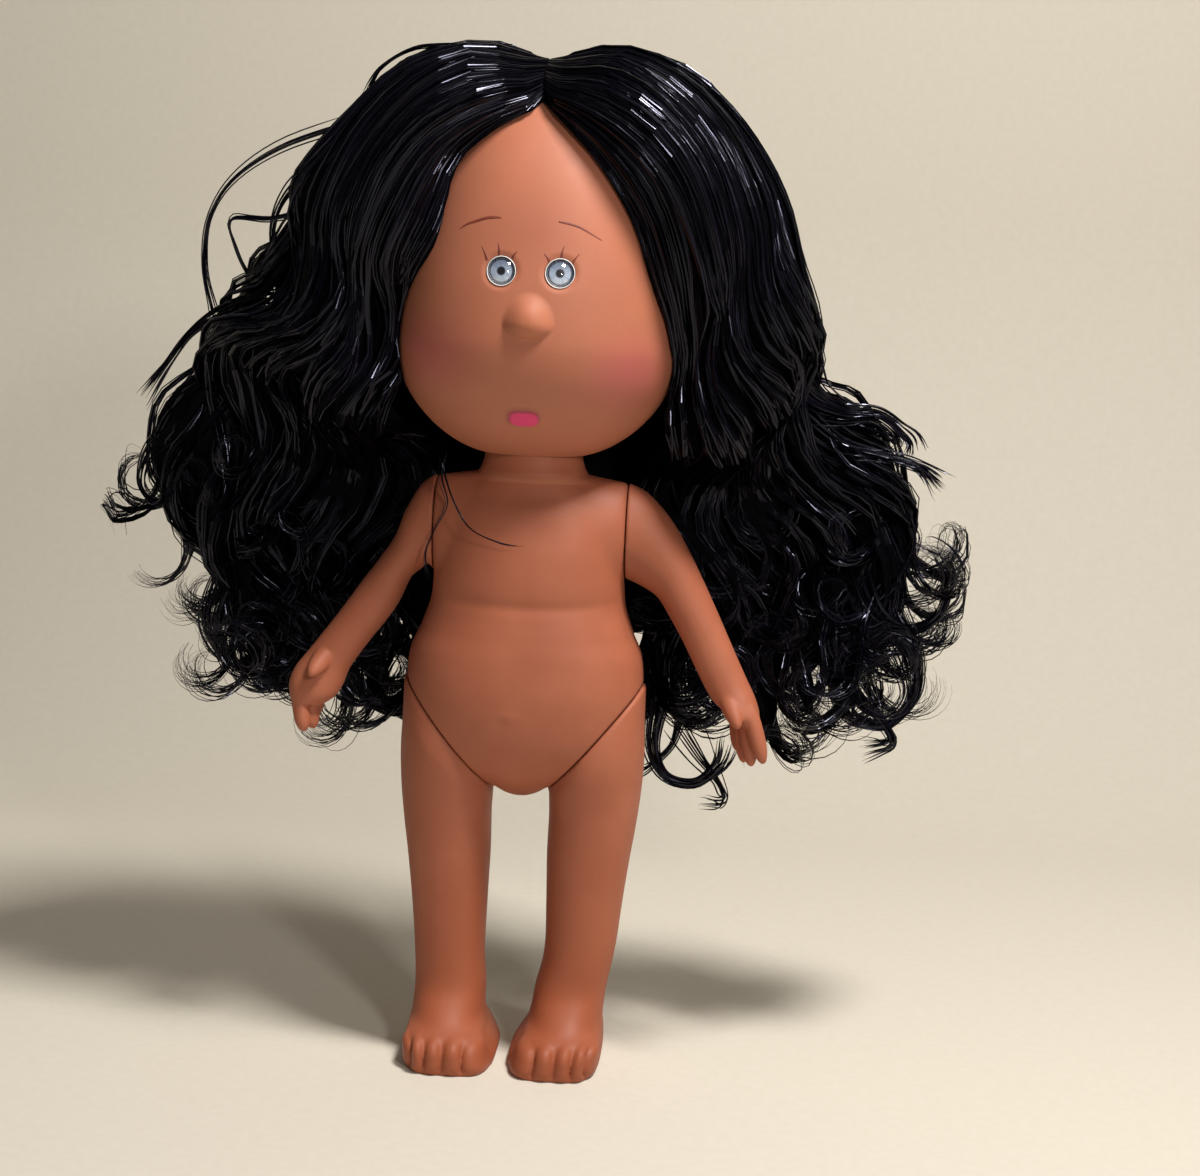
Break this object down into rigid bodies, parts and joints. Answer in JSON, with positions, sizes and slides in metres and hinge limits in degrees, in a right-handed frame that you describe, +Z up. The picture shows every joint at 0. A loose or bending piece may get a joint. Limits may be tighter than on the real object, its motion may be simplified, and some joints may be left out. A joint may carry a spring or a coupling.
{
  "type": "jointed doll",
  "caption": "Hollow vinyl play doll with swivel neck, shoulders and hips, inset glassy eyes, round nose and long wavy rooted hair parted in the middle.",
  "frame": {"origin": "centre of the bounding box's base, on the surface that both soles stand on", "axes": "+Z up from the soles to the crown; the doll faces -Y; its own left side is at +X"},
  "size_m": [0.2418, 0.0917, 0.298],
  "materials": {
    "body_vinyl": "matt soft vinyl, warm brown",
    "head_vinyl": "matt soft vinyl, warm brown with blushed cheeks",
    "plug_plastic": "plain hard moulding",
    "eye_white": "polished white",
    "iris": "printed blue-grey iris with a dark ring and pupil",
    "lens": "clear polished dome",
    "hair": "glossy black nylon fibre"
  },
  "bodies": {
    "torso": {"torso": "body_vinyl", "hair_wave_left": "hair", "hair_outer_left": "hair", "hair_inner_left": "hair", "hair_hip_curl_left": "hair", "hair_outer_right": "hair", "hair_middle_right": "hair", "hair_inner_right": "hair", "hair_back_left": "hair", "hair_back_right": "hair"},
    "head": {"head": "head_vinyl", "neck_plug": "plug_plastic", "eye_cup_left": "eye_white", "eye_cup_right": "eye_white", "eye_iris_left": "iris", "eye_iris_right": "iris", "eye_lens_left": "lens", "eye_lens_right": "lens", "hair_crown_left": "hair", "hair_side_left": "hair", "hair_nape_left": "hair", "hair_crown_right": "hair", "hair_side_right": "hair", "hair_nape_right": "hair"},
    "arm_left": {"arm_left": "body_vinyl", "shoulder_plug_left": "plug_plastic"},
    "arm_right": {"arm_right": "body_vinyl", "shoulder_plug_right": "plug_plastic"},
    "leg_left": {"leg_left": "body_vinyl", "hip_plug_left": "plug_plastic"},
    "leg_right": {"leg_right": "body_vinyl", "hip_plug_right": "plug_plastic"}
  },
  "joints": [
    {"name": "head_turn", "type": "hinge", "parent": "torso", "child": "head", "pos_m": [0, 0, 0.187], "axis": [0, 0, 1], "range_deg": [-60, 60]},
    {"name": "shoulder_left", "type": "hinge", "parent": "torso", "child": "arm_left", "pos_m": [0.028, 0, 0.161], "axis": [-1, 0, 0], "range_deg": [-8, 80]},
    {"name": "shoulder_right", "type": "hinge", "parent": "torso", "child": "arm_right", "pos_m": [-0.028, 0, 0.161], "axis": [-1, 0, 0], "range_deg": [-8, 80]},
    {"name": "hip_left", "type": "hinge", "parent": "torso", "child": "leg_left", "pos_m": [0.0214, 0, 0.0998], "axis": [-0.766, 0, 0.6428], "range_deg": [-6, 100]},
    {"name": "hip_right", "type": "hinge", "parent": "torso", "child": "leg_right", "pos_m": [-0.0214, 0, 0.0998], "axis": [-0.766, 0, -0.6428], "range_deg": [-6, 100]}
  ]
}
